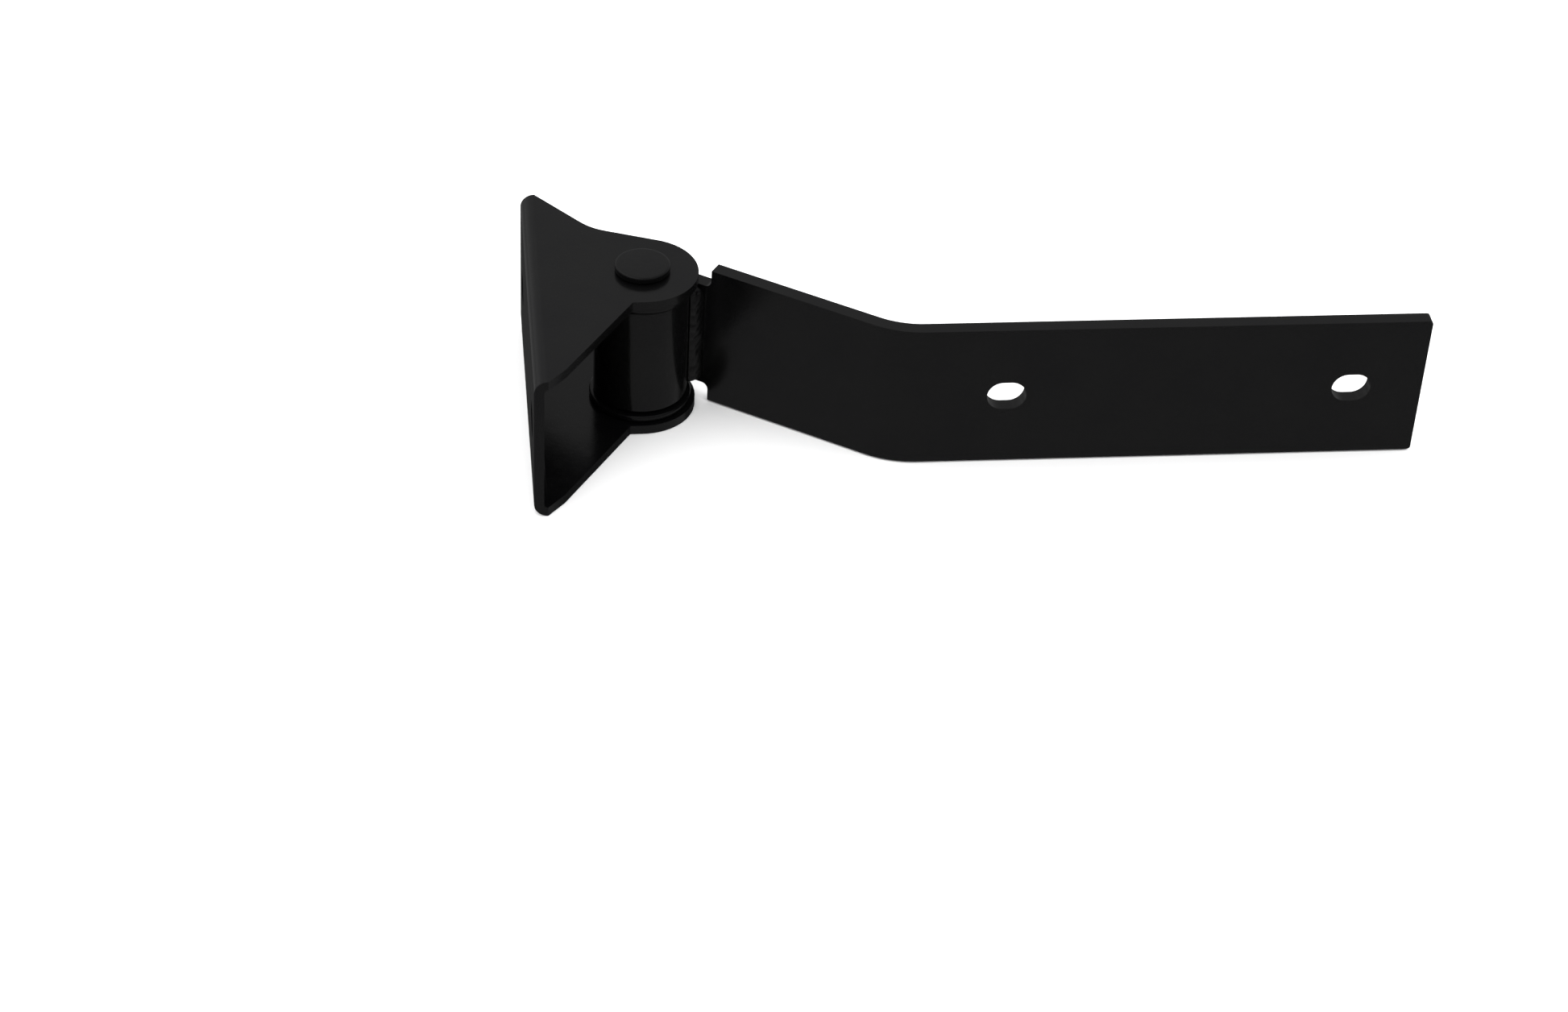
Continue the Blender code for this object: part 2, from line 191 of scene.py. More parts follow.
def sintered_bronze(name):
    """Oil-filled bronze pressed from powder: a warm satin metal, darkened by its pores and by the oil in them. Real
    pores are a few hundredths of a millimetre wide, and are drawn coarser so that they show."""
    pore, patch, depth = 0.0004, 0.0006, 0.00002
    material, tree, shader, place = new_material(name)
    pores = add_node(tree, "ShaderNodeTexNoise", {"Vector": place, "Scale": 1 / pore, "Detail": 4.0}).outputs["Fac"]
    shades = {0: pores, 6: linear("6E4A24"), 7: linear("C28A4A")}
    tint = add_node(tree, "ShaderNodeMix", shades, data_type="RGBA")
    tree.links.new(tint.outputs[2], shader.inputs["Base Color"])
    tree.links.new(noise_between(tree, place, patch, low=0.32, high=0.5), shader.inputs["Roughness"])
    bump = add_node(tree, "ShaderNodeBump", {"Height": pores, "Distance": depth})
    tree.links.new(bump.outputs["Normal"], shader.inputs["Normal"])
    shader.inputs["Metallic"].default_value = 1.0
    return material


def backdrop_paper(name):
    """Matt white background paper, rolled out flat: almost white, with a faint mottle a few centimetres across."""
    patch = 0.05
    material, tree, shader, place = new_material(name)
    mottle = add_node(tree, "ShaderNodeTexNoise", {"Vector": place, "Scale": 1 / patch, "Detail": 2.0})
    shades = {0: mottle.outputs["Fac"], 6: linear("F2F2F2"), 7: linear("F6F6F6")}
    tint = add_node(tree, "ShaderNodeMix", shades, data_type="RGBA")
    tree.links.new(tint.outputs[2], shader.inputs["Base Color"])
    shader.inputs["Roughness"].default_value = 0.9
    shader.inputs["Specular IOR Level"].default_value = 0.1
    return material


def studio_room(stage):
    """The room that the gloss mirrors: pale all round, with a brighter wall behind for the tops, a panel up on the
    left for the edges, a dark band in front, between the table and the lights, for the line along each edge, and a
    dark floor at the back, which the cheeks' cut edges mirror. Each ramp is a smooth step along one axis of the
    direction looked in, from where it is none to where it is full."""
    band_dark, floor_dark = 0.85, 0.8  # share of the room's light that each takes away
    wall_rise, wall_base, wall_lean = 0.9, 0.45, 0.5  # the wall is brighter low down and towards the left
    world = bpy.data.worlds.new("studio_room")
    world.use_nodes = True
    tree = world.node_tree
    direction = add_node(tree, "ShaderNodeTexCoord").outputs["Generated"]
    known = dict(zip("xyz", add_node(tree, "ShaderNodeSeparateXYZ", {0: direction}).outputs))
    ramps = (
        ("behind", "y", 0.1, 0.7),
        ("over_floor", "z", -0.15, 0.05),
        ("low_on_wall", "z", 1.0, 0.0),
        ("on_left", "x", 0.0, -0.25),
        ("high_up", "z", 0.5, 0.8),
        ("in_front", "y", 0.0, -0.4),
        ("above_table", "z", -0.3, -0.05),
        ("below_lights", "z", 0.45, 0.15),
        ("at_back", "y", 0.1, 0.35),
        ("on_floor", "z", -0.38, -0.5),
        ("right_of_door", "x", -0.4, -0.15),
    )
    for name, axis, none, full in ramps:
        sockets = {"Value": known[axis], "From Min": none, "From Max": full}
        known[name] = add_node(tree, "ShaderNodeMapRange", sockets, interpolation_type="SMOOTHSTEP").outputs[0]
    worked_out(
        tree,
        known,
        (
            ("band_height", "MULTIPLY", "above_table", "below_lights"),
            ("band", "MULTIPLY", "band_height", "in_front"),
            ("above_floor", "MULTIPLY_ADD", "band", -band_dark * stage.room, stage.room),
            ("back_floor", "MULTIPLY", "at_back", "on_floor"),
            ("dark_floor", "MULTIPLY", "back_floor", "right_of_door"),
            ("room", "MULTIPLY_ADD", "dark_floor", -floor_dark * stage.room, "above_floor"),
            ("rising", "MULTIPLY_ADD", "low_on_wall", wall_rise, wall_base),
            ("fade", "MULTIPLY_ADD", "x", -wall_lean, "rising"),
            ("wall_place", "MULTIPLY", "behind", "over_floor"),
            ("wall_shape", "MULTIPLY", "wall_place", "fade"),
            ("with_wall", "MULTIPLY_ADD", "wall_shape", stage.back_wall, "room"),
            ("panel_shape", "MULTIPLY", "on_left", "high_up"),
            ("light", "MULTIPLY_ADD", "panel_shape", stage.left_panel, "with_wall"),
        ),
    )
    tree.links.new(known["light"], tree.nodes["Background"].inputs["Strength"])
    tree.nodes["Background"].inputs["Color"].default_value = (1.0, 1.0, 1.0, 1.0)
    return world


# ---- Geometry Nodes trees ----


def new_tree(name, inputs):
    """A modifier tree with one geometry in and out, a finish, and named inputs: (name, kind, default)."""
    tree = bpy.data.node_groups.new(name, "GeometryNodeTree")
    tree.is_modifier = True
    tree.interface.new_socket("Geometry", in_out="INPUT", socket_type="NodeSocketGeometry")
    for label, kind, default in inputs:
        socket = tree.interface.new_socket(label, in_out="INPUT", socket_type="NodeSocket" + kind)
        socket.default_value = default
    tree.interface.new_socket("Finish", in_out="INPUT", socket_type="NodeSocketMaterial")
    tree.interface.new_socket("Geometry", in_out="OUTPUT", socket_type="NodeSocketGeometry")
    return tree, tree.nodes.new("NodeGroupInput").outputs


def close_tree(tree, given, geometry):
    """Ends a tree in smooth faces, real geometry and the finish."""
    smooth = add_node(tree, "GeometryNodeSetShadeSmooth", {"Geometry": geometry})
    real = add_node(tree, "GeometryNodeRealizeInstances", {"Geometry": smooth.outputs[0]})
    coated = add_node(tree, "GeometryNodeSetMaterial", {"Geometry": real.outputs[0], "Material": given["Finish"]})
    add_node(tree, "NodeGroupOutput", {0: coated.outputs[0]})
    return tree


def press_brake_tree():
    """Folds a flat blank. What lies past the bend line wraps round the bend's centre, which is on the blank's +Y
    side, and what is beyond the bend turns with it. Side is 1 for a bend on the blank's +X part, and -1 for -X."""
    inputs = (
        ("Side", "Float", 1.0),
        ("Bend line", "Float", 0.0),
        ("Middle radius", "Float", 0.01),
        ("Bend angle", "Float", 0.5),
    )
    tree, given = new_tree("press_brake", inputs)
    place = add_node(tree, "GeometryNodeInputPosition").outputs[0]
    parts = add_node(tree, "ShaderNodeSeparateXYZ", {0: place}).outputs
    known = {"x": parts[0], "side": given["Side"], "line": given["Bend line"]}
    known |= {"radius": given["Middle radius"], "angle": given["Bend angle"]}
    worked_out(
        tree,
        known,
        (
            ("out", "MULTIPLY", "x", "side"),
            ("past", "SUBTRACT", "out", "line"),
            ("length", "MULTIPLY", "radius", "angle"),
            ("begun", "MAXIMUM", "past", 0.0),
            ("wrapped", "MINIMUM", "begun", "length"),
            ("moved", "MULTIPLY", "wrapped", "side"),
            ("drawn_back", "SUBTRACT", "x", "moved"),
            ("turn", "DIVIDE", "moved", "radius"),
            ("centre", "MULTIPLY", "line", "side"),
        ),
    )
    start = add_node(tree, "ShaderNodeCombineXYZ", {0: known["drawn_back"], 1: parts[1], 2: parts[2]}).outputs[0]
    centre = add_node(tree, "ShaderNodeCombineXYZ", {0: known["centre"], 1: given["Middle radius"]}).outputs[0]
    spin = {"Vector": start, "Center": centre, "Angle": known["turn"]}
    folded = add_node(tree, "ShaderNodeVectorRotate", spin, rotation_type="Z_AXIS").outputs[0]
    bent = add_node(tree, "GeometryNodeSetPosition", {"Geometry": given[0], "Position": folded})
    return close_tree(tree, given, bent.outputs[0])


def lathe_tree():
    """Turns a profile of (radius, height) edges about Z, with every corner rounded first. The profile is drawn in
    by the hub's radius, and the sweep sets its second direction downwards, so its Y is turned over."""
    inputs = (
        ("Edge rounding", "Float", 0.0004),
        ("Edge steps", "Int", EDGE_STEPS),
        ("Turn steps", "Int", TURN_STEPS),
    )
    tree, given = new_tree("lathe", inputs)
    drawn = add_node(tree, "GeometryNodeMeshToCurve", {0: given[0]}).outputs[0]
    rounded_off = add_node(
        tree,
        "GeometryNodeFilletCurve",
        {"Curve": drawn, "Count": given["Edge steps"], "Radius": given["Edge rounding"], "Limit Radius": True},
        mode="POLY",
    ).outputs[0]
    laid = add_node(
        tree,
        "GeometryNodeTransform",
        {"Geometry": rounded_off, "Translation": (-HUB, 0.0, 0.0), "Scale": (1.0, -1.0, 1.0)},
    ).outputs[0]
    circle = add_node(
        tree, "GeometryNodeCurvePrimitiveCircle", {"Resolution": given["Turn steps"], "Radius": HUB}
    ).outputs[0]
    spun = add_node(tree, "GeometryNodeCurveToMesh", {"Curve": circle, "Profile Curve": laid}).outputs[0]
    merged = add_node(tree, "GeometryNodeMergeByDistance", {"Geometry": spun, "Distance": 10 * MERGE}).outputs[0]
    return close_tree(tree, given, merged)


def weld_bead_tree():
    """Runs a bead's section along Z and gives it the stacked, crescent-shaped ripples that a wire welder leaves. A
    point moves away from the root of the joint, which is the section's own origin, and the ends draw in."""
    inputs = (
        ("Bead length", "Float", 0.03),
        ("Ripple pitch", "Float", 0.003),
        ("Ripple height", "Float", 0.05),
        ("Ripple curve", "Float", 100.0),
        ("Wander", "Float", 0.2),
        ("Seed", "Float", 1.0),
        ("End length", "Float", 0.002),
        ("Steps", "Int", 240),
    )
    tree, given = new_tree("weld_bead", inputs)
    place = add_node(tree, "GeometryNodeInputPosition").outputs[0]
    parts = add_node(tree, "ShaderNodeSeparateXYZ", {0: place}).outputs
    grain = {"Vector": place, "W": given["Seed"], "Scale": 1 / WANDER_LENGTH, "Detail": 1.0}
    known = {"x": parts[0], "y": parts[1], "z": parts[2], "length": given["Bead length"]}
    known |= {"pitch": given["Ripple pitch"], "height": given["Ripple height"], "curve": given["Ripple curve"]}
    known |= {"wander": given["Wander"], "end": given["End length"]}
    known["noise"] = add_node(tree, "ShaderNodeTexNoise", grain, noise_dimensions="4D").outputs[0]
    worked_out(
        tree,
        known,
        (
            ("half", "MULTIPLY", "length", 0.5),
            ("low", "MULTIPLY", "length", -0.5),
            ("askew", "SUBTRACT", "x", "y"),
            ("askew_squared", "MULTIPLY", "askew", "askew"),
            ("crescent", "MULTIPLY_ADD", "askew_squared", "curve", "z"),
            ("drift", "SUBTRACT", "noise", 0.5),
            ("along", "MULTIPLY_ADD", "drift", "pitch", "crescent"),
            ("ripples", "DIVIDE", "along", "pitch"),
            ("phase", "MULTIPLY", "ripples", math.pi),
            ("wave", "SINE", "phase"),
            ("lobe", "ABSOLUTE", "wave"),
            ("about_middle", "SUBTRACT", "lobe", LOBE_MIDDLE),
            ("level", "MULTIPLY_ADD", "drift", "wander", 1.0),
            ("swell", "MULTIPLY_ADD", "about_middle", "height", "level"),
            ("away", "ABSOLUTE", "z"),
            ("left", "SUBTRACT", "half", "away"),
            ("share_left", "DIVIDE", "left", "end"),
            ("clear_of_end", "MINIMUM", "share_left", 1.0),
            ("into_end", "SUBTRACT", 1.0, "clear_of_end"),
            ("into_end_squared", "MULTIPLY", "into_end", "into_end"),
            ("drawn_in", "MULTIPLY_ADD", "into_end_squared", -DRAWN_IN, 1.0),
            ("end_scale", "SQRT", "drawn_in"),
            ("scale", "MULTIPLY", "swell", "end_scale"),
            ("new_x", "MULTIPLY", "x", "scale"),
            ("new_y", "MULTIPLY", "y", "scale"),
        ),
    )
    section = add_node(tree, "GeometryNodeMeshToCurve", {0: given[0]}).outputs[0]
    low = add_node(tree, "ShaderNodeCombineXYZ", {2: known["low"]}).outputs[0]
    high = add_node(tree, "ShaderNodeCombineXYZ", {2: known["half"]}).outputs[0]
    line = add_node(tree, "GeometryNodeCurvePrimitiveLine", {"Start": low, "End": high}).outputs[0]
    path = add_node(tree, "GeometryNodeResampleCurve", {"Curve": line, "Count": given["Steps"]}).outputs[0]
    swept = {"Curve": path, "Profile Curve": section, "Fill Caps": True}
    run = add_node(tree, "GeometryNodeCurveToMesh", swept).outputs[0]
    across = add_node(tree, "ShaderNodeCombineXYZ", {0: known["new_x"], 1: known["new_y"], 2: parts[2]})
    shaped = add_node(tree, "GeometryNodeSetPosition", {"Geometry": run, "Position": across.outputs[0]})
    return close_tree(tree, given, shaped.outputs[0])


def run_tree(obj, build, **values):
    """Adds the tree that a builder makes, which is made once, and sets its inputs by name, with _ for a space."""
    tree = bpy.data.node_groups.get(build.__name__.removesuffix("_tree")) or build()
    modifier = obj.modifiers.new(tree.name, "NODES")
    modifier.node_group = tree
    wanted = {name.replace("_", " ").lower(): value for name, value in values.items()}
    for item in tree.interface.items_tree:
        if item.in_out == "INPUT" and item.name.lower() in wanted:
            modifier[item.identifier] = wanted.pop(item.name.lower())
    if wanted:
        raise ValueError(f"the {tree.name} tree has no input for {sorted(wanted)}")


# ---- flat outlines ----


def arc(centre, radius, start, end):
    """Points along an arc from one angle to the other, both ends included."""
    count = max(2, math.ceil(abs(end - start) / ARC_STEP))
    turns = [start + (end - start) * i / count for i in range(count + 1)]
    return [Vector(centre) + radius * Vector((math.cos(t), math.sin(t))) for t in turns]


def rounded(corners):
    """The outline through (point, radius) corners, each rounded to its own radius."""
    points = [Vector(point) for point, _ in corners]
    outline = []
    for i, (_, radius) in enumerate(corners):
        corner = points[i]
        if radius <= 0.0:
            outline.append(corner)
            continue
        back = (points[i - 1] - corner).normalized()
        ahead = (points[(i + 1) % len(points)] - corner).normalized()
        half = back.angle(ahead) / 2
        centre = corner + (back + ahead).normalized() * radius / math.sin(half)
        first = corner + back * radius / math.tan(half) - centre
        last = corner + ahead * radius / math.tan(half) - centre
        start = math.atan2(first.y, first.x)
        outline += arc(centre, radius, start, start + math.atan2(first.cross(last), first.dot(last)))
    return outline


def crossing(point_a, along_a, point_b, along_b):
    """Where two lines in a plane meet."""
    step = (point_b - point_a).cross(along_b) / along_a.cross(along_b)
    return point_a + along_a * step


def bulged(first, last, bulge):
    """An arc from one point to the other that stands out to the left of the way between them."""
    chord = last - first
    radius = (chord.length_squared / 4 + bulge**2) / (2 * bulge)
    right = Vector((chord.y, -chord.x)).normalized()
    centre = (first + last) / 2 + right * (radius - bulge)
    start = math.atan2(first.y - centre.y, first.x - centre.x)
    return arc(centre, radius, start, start - (first - centre).angle(last - centre))


def obround(centre, length, width):
    """Outline of a slot with round ends, long in its first direction."""
    reach = Vector(((length - width) / 2, 0.0))
    right = arc(Vector(centre) + reach, width / 2, -math.pi / 2, math.pi / 2)
    return right + arc(Vector(centre) - reach, width / 2, math.pi / 2, 3 * math.pi / 2)


# ---- solids ----


def new_object(name, mesh):
    """An object in the scene for a mesh or a curve."""
    obj = bpy.data.objects.new(name, mesh)
    bpy.context.scene.collection.objects.link(obj)
    return obj


def settle(obj):
    """Turns an object and its modifiers into one plain mesh."""
    graph = bpy.context.evaluated_depsgraph_get()
    shown = obj.evaluated_get(graph)
    mesh = bpy.data.meshes.new_from_object(shown, preserve_all_data_layers=True, depsgraph=graph)
    mesh.name = obj.name
    obj.modifiers.clear()
    obj.data = mesh
    return obj


def cleaned(obj, bends=(), sliver=MERGE):
    """Merges a plate's doubles and turns its faces outwards. Without bends it joins what is flat, and with bends it
    cuts the plate across at each of them and closes up the slivers that this leaves."""
    shape = bmesh.new()
    shape.from_mesh(obj.data)
    bmesh.ops.remove_doubles(shape, verts=shape.verts, dist=MERGE)
    if bends:
        bmesh.ops.triangulate(shape, faces=shape.faces)
        for place in bends:
            geom = shape.verts[:] + shape.edges[:] + shape.faces[:]
            bmesh.ops.bisect_plane(shape, geom=geom, dist=MERGE, plane_co=(place, 0, 0), plane_no=(1, 0, 0))
        bmesh.ops.remove_doubles(shape, verts=shape.verts, dist=MERGE)
        bmesh.ops.dissolve_degenerate(shape, dist=sliver, edges=shape.edges)
    else:
        bmesh.ops.dissolve_limit(shape, angle_limit=FLAT_ENOUGH, verts=shape.verts, edges=shape.edges)
    bmesh.ops.recalc_face_normals(shape, faces=shape.faces)
    shape.to_mesh(obj.data)
    shape.free()
    return obj


def flat_blank(name, outlines, thickness, edge):
    """A plate cut to the first outline with the others as its holes. The outlines lie in XZ, the plate's thickness
    is along Y about zero, and every edge is rounded as blasting and a thick coat leave it."""
    curve = bpy.data.curves.new(name, "CURVE")
    curve.dimensions = "2D"
    curve.fill_mode = "BOTH"
    curve.extrude = thickness / 2
    for outline in outlines:
        spline = curve.splines.new("POLY")
        spline.points.add(len(outline) - 1)
        for point, spot in zip(spline.points, outline):
            point.co = (spot[0], spot[1], 0.0, 1.0)
        spline.use_cyclic_u = True
    flat = new_object(name + "_outline", curve)
    graph = bpy.context.evaluated_depsgraph_get()
    mesh = bpy.data.meshes.new_from_object(flat.evaluated_get(graph), depsgraph=graph)
    mesh.transform(Matrix.Rotation(math.pi / 2, 4, "X"))
    bpy.data.objects.remove(flat)
    blank = cleaned(new_object(name, mesh))
    bevel = blank.modifiers.new("Edges", "BEVEL")
    bevel.width = edge
    bevel.segments = EDGE_STEPS
    bevel.limit_method = "ANGLE"
    bevel.angle_limit = CORNER
    bevel.use_clamp_overlap = True
    return settle(blank)


def bend_cuts(start, length, angle):
    """Where a blank is cut across so that it can follow a bend."""
    count = math.ceil(angle / BEND_STEP)
    return [start + length * i / count for i in range(count + 1)]


def finished(obj, node, body, turn=Matrix.Identity(4), slack=SIZE_SLACK):
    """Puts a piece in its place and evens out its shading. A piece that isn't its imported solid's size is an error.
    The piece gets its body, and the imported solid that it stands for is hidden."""
    obj.data.transform(Matrix.Translation(PIN_CENTRE) @ turn)
    shading = obj.modifiers.new("Shading", "WEIGHTED_NORMAL")
    shading.keep_sharp = True
    settle(obj)
    corners = [vertex.co for vertex in obj.data.vertices]
    made = [[pick(corner[i] for corner in corners) for i in range(3)] for pick in (min, max)]
    off = max(abs(a - b) for new, old in zip(made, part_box(node)) for a, b in zip(new, old))
    if off > slack:
        raise RuntimeError(f"{obj.name} differs from {node} by {off * 1000:.2f} mm: {made} against {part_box(node)}")
    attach(obj, body)
    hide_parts(node)
    return obj


# ---- what a user may change ----


def length_property(name, description, default):
    """A length in metres that a user may change."""
    return FloatProperty(
        name=name, description=description, default=default, min=0.0, subtype="DISTANCE", unit="LENGTH"
    )


def angle_property(name, description, degrees):
    """An angle that a user may change, given in degrees."""
    return FloatProperty(name=name, description=description, default=math.radians(degrees), subtype="ANGLE")


class HingeSizes(bpy.types.PropertyGroup):
    """Sizes of the bracket, the turned pieces, the strap and the welds."""

    plate: length_property("Bracket plate", "Thickness of the bracket's plate", 0.0032)
    bracket_bend: length_property("Bracket bend", "Outside radius of the bracket's two bends", 0.0045)
    nose: length_property("Nose radius", "Round end of each cheek, about the pin", 0.0180)
    nose_lip: length_property("Nose lip", "Straight between the nose and the near side's inner corner", 0.0042)
    toe: length_property("Toe", "Shallow run where a cheek's near side meets the bend", 0.0055)
    far_slope: angle_property("Far slope", "Cheek's far side beside the nose, off the X axis", 20.0)
    far_edge: angle_property("Far edge", "Cheek's far side beside the web, off the X axis", 49.4)
    far_fillet: length_property("Far fillet", "Rounding of the corner in the far side", 0.0180)
    web_slot_spacing: length_property("Web slot spacing", "Middle of one web slot to middle of the other", 0.0720)
    pin: length_property("Pin diameter", "Diameter of the pin's shank", 0.0127)
    head_thickness: length_property("Head thickness", "Thickness of the pin's head", 0.0024)
    head_crown: length_property("Head crown", "How much lower the head is at its rim than in its middle", 0.00012)
    running_gap: length_property("Running gap", "Between each washer and the barrel", 0.00045)
    rivet_depth: length_property("Rivet depth", "Depth of the spread lower end of the pin", 0.0016)
    rivet_spread: length_property("Rivet spread", "How much wider the spread end is, all round", 0.0016)
    bar: length_property("Bar thickness", "Thickness of the strap's bar", 0.00476)
    crank: angle_property("Crank angle", "Turn of the strap's bend", 33.0)
    crank_radius: length_property("Crank radius", "Inside radius of the strap's bend", 0.0260)
    crank_offset: length_property("Crank offset", "Pin axis to the near face of the strap's sloping part", 0.01135)
    shoulder_clearance: length_property("Shoulder clearance", "Between the nose and the strap's shoulders", 0.0041)
    neck_drop: length_property("Neck drop", "Neck's edges, in from the barrel's ends", 0.0004)
    neck_fillet: length_property("Neck fillet", "Rounding between the neck and its shoulders", 0.0022)
    end_corner: length_property("End corners", "Rounding of the strap's end corners", 0.0012)
    slot_length: length_property("Slot length", "Length of each bolt slot", 0.0127)
    slot_width: length_property("Slot width", "Width of each bolt slot", 0.0102)
    slot_to_end: length_property("Slot to end", "Middle of the outer strap slot to the strap's end", 0.0233)
    slot_spacing: length_property("Strap slot spacing", "Middle of one strap slot to middle of the other", 0.1122)
    weld_leg: length_property("Weld leg", "How far each bead runs along the pieces that it joins", 0.0062)
    weld_bulge: length_property("Weld bulge", "How far a bead's face stands out", 0.0008)
    weld_inset: length_property("Weld inset", "Bead ends, in from the neck's edges", 0.0008)
    weld_lap: angle_property("Weld lap", "How far the far bead runs round the barrel", 34.0)


class HingeFinish(bpy.types.PropertyGroup):
    """The coat and the edges that it rounds."""

    plate_edge: length_property("Plate edges", "Rounding of the cut edges of the plates", 0.0007)
    turned_edge: length_property("Turned edges", "Rounding of the turned pieces' corners", 0.0006)
    ripple_pitch: length_property("Ripple pitch", "Spacing of the ripples in the welds", 0.0034)
    ripple_height: FloatProperty(
        name="Ripple height", description="Height of a ripple as a share of its bead", default=0.04, min=0.0
    )
    ripple_seed: IntProperty(name="Ripple seed", description="Picks how the ripples wander", default=3)
    peel: length_property("Orange peel", "Size of one ripple in the coat", 0.0016)
    peel_depth: length_property("Peel depth", "Depth of the ripples in the coat", 0.000012)
    flow_patch: length_property("Flow patches", "Size of the areas where the powder flowed out alike", 0.020)
    coat_gloss: FloatProperty(
        name="Coat gloss", description="How strongly the coat mirrors", default=0.5, min=0.0, max=1.0
    )


class HingeStage(bpy.types.PropertyGroup):
    """The floor, the lights and the camera."""

    floor: length_property("Floor", "Side of the square floor", 8.0)
    room: FloatProperty(name="Room", description="Brightness of the room all round", default=0.19, min=0.0)
    back_wall: FloatProperty(
        name="Back wall", description="Extra brightness behind, which the tops mirror", default=0.075, min=0.0
    )
    left_panel: FloatProperty(
        name="Left panel",
        description="Extra brightness up on the left, which the edges mirror",
        default=0.27,
        min=0.0,
    )
    overhead: FloatProperty(
        name="Overhead light", description="Power of the large soft light above", default=260.0, unit="POWER"
    )
    overhead_size: length_property("Overhead size", "Side of the light above", 6.0)
    overhead_height: length_property("Overhead height", "Height of the light above", 1.8)
    camera_place: FloatVectorProperty(
        name="Camera",
        description="Where the camera is",
        default=(-0.18025, -0.92077, 0.6854),
        subtype="XYZ",
        unit="LENGTH",
    )
    camera_turn: FloatVectorProperty(
        name="Camera turn",
        description="How the camera is turned",
        default=[math.radians(turn) for turn in (51.979, -2.474, -5.651)],
        subtype="EULER",
    )
    camera_lens: FloatProperty(name="Lens", description="Focal length of the camera in millimetres", default=80.84)


# ---- pieces ----


def bracket_blank(sizes, edge):
    """The bracket before it is bent: the web across the middle, and one pointed cheek along +X and one along -X. It
    comes with the bends' distance from the middle and the radius of the plate's middle in them."""
    bend_x = WEB_OUTSIDE + sizes.bracket_bend
    web_half = HALF_BRACKET - sizes.bracket_bend
    middle = sizes.bracket_bend - sizes.plate / 2
    bend_end = web_half + middle * math.pi / 2
    slope = Vector((math.cos(sizes.crank), -math.sin(sizes.crank)))
    lip = Vector((-sizes.nose_lip, -sizes.nose))
    toe = crossing(lip, slope.orthogonal(), Vector((bend_x + sizes.toe, 0.0)), Vector((0.0, 1.0)))
    nose = arc((0.0, 0.0), sizes.nose, -math.pi / 2, math.pi / 2 - sizes.far_slope)
    far_along = Vector((-math.cos(sizes.far_slope), math.sin(sizes.far_slope)))
    edge_along = Vector((-math.cos(sizes.far_edge), math.sin(sizes.far_edge)))
    far_corner = Vector((bend_x, WEB_FAR_END))
    waist = crossing(nose[-1], far_along, far_corner, edge_along)
    cheek = [(Vector((bend_x, WEB_NEAR_END)), 0.0), (toe, 0.0), (lip, 0.0)]
    cheek += [(point, 0.0) for point in nose] + [(waist, sizes.far_fillet), (far_corner, 0.0)]

    def folded_out(point):
        """Where a cheek's point lies while the plate is flat."""
        return Vector((point.x - bend_x + bend_end, point.y))

    upper = [(folded_out(point), radius) for point, radius in cheek]
    lower = [(Vector((-point.x, point.y)), radius) for point, radius in reversed(upper)]
    pin_place = folded_out(Vector((0.0, 0.0)))
    pin_hole = sizes.pin / 2 + GAP
    spread_hole = pin_hole + sizes.rivet_spread
    full_turn = 2 * math.pi
    holes = [
        arc(pin_place, pin_hole, 0.0, full_turn)[:-1],
        arc(-pin_place, spread_hole, 0.0, full_turn)[:-1],
    ]
    web_middle = (WEB_NEAR_END + WEB_FAR_END) / 2
    for side in (-1, 1):
        slot = obround((web_middle + side * sizes.web_slot_spacing / 2, 0.0), sizes.slot_length, sizes.slot_width)
        holes.append([Vector((point.y, point.x)) for point in slot])
    blank = flat_blank("post_bracket", [rounded(upper + lower), *holes], sizes.plate, edge)
    cuts = bend_cuts(web_half, middle * math.pi / 2, math.pi / 2)
    return cleaned(blank, [-cut for cut in cuts] + cuts, SLIVER), web_half, middle


def strap_blank(sizes, edge, barrel_reach, barrel_half):
    """The strap before it is cranked, from the neck's square end along +X. It comes with where its bend begins, the
    radius of the bar's middle in the bend, and the turn that puts the neck at the barrel."""
    slope = Vector((math.cos(sizes.crank), -math.sin(sizes.crank)))
    out = Vector((math.sin(sizes.crank), math.cos(sizes.crank)))
    neck_place = math.sqrt((barrel_reach + GAP) ** 2 - sizes.crank_offset**2)
    shoulder = math.sqrt((sizes.nose + sizes.shoulder_clearance) ** 2 - sizes.crank_offset**2) - neck_place
    start = slope * neck_place + out * (sizes.crank_offset + sizes.bar / 2)
    level = Vector((0.0, MOUNTING_PLANE + sizes.bar / 2))
    corner = crossing(start, slope, level, Vector((1.0, 0.0)))
    middle = sizes.crank_radius + sizes.bar / 2
    tangent = middle * math.tan(sizes.crank / 2)
    bend_start = (corner - start).length - tangent
    bend_length = middle * sizes.crank
    full = bend_start + bend_length + STRAP_END - corner.x - tangent
    neck = barrel_half - sizes.neck_drop
    above = [
        ((0.0, neck), 0.0),
        ((shoulder, neck), sizes.neck_fillet),
        ((shoulder, STRAP_HALF), 0.0),
        ((full, STRAP_HALF), sizes.end_corner),
    ]
    outline = above + [((x, -z), radius) for (x, z), radius in reversed(above)]
    slots = []
    for steps in (1, 0):
        middle_x = full - sizes.slot_to_end - steps * sizes.slot_spacing
        slots.append(obround((middle_x, 0.0), sizes.slot_length, sizes.slot_width))
    blank = flat_blank("cranked_strap", [rounded(outline), *slots], sizes.bar, edge)
    cleaned(blank, bend_cuts(bend_start, bend_length, sizes.crank))
    turn = Matrix.Translation(start.to_3d()) @ Matrix.Rotation(-sizes.crank, 4, "Z")
    return blank, bend_start, middle, turn


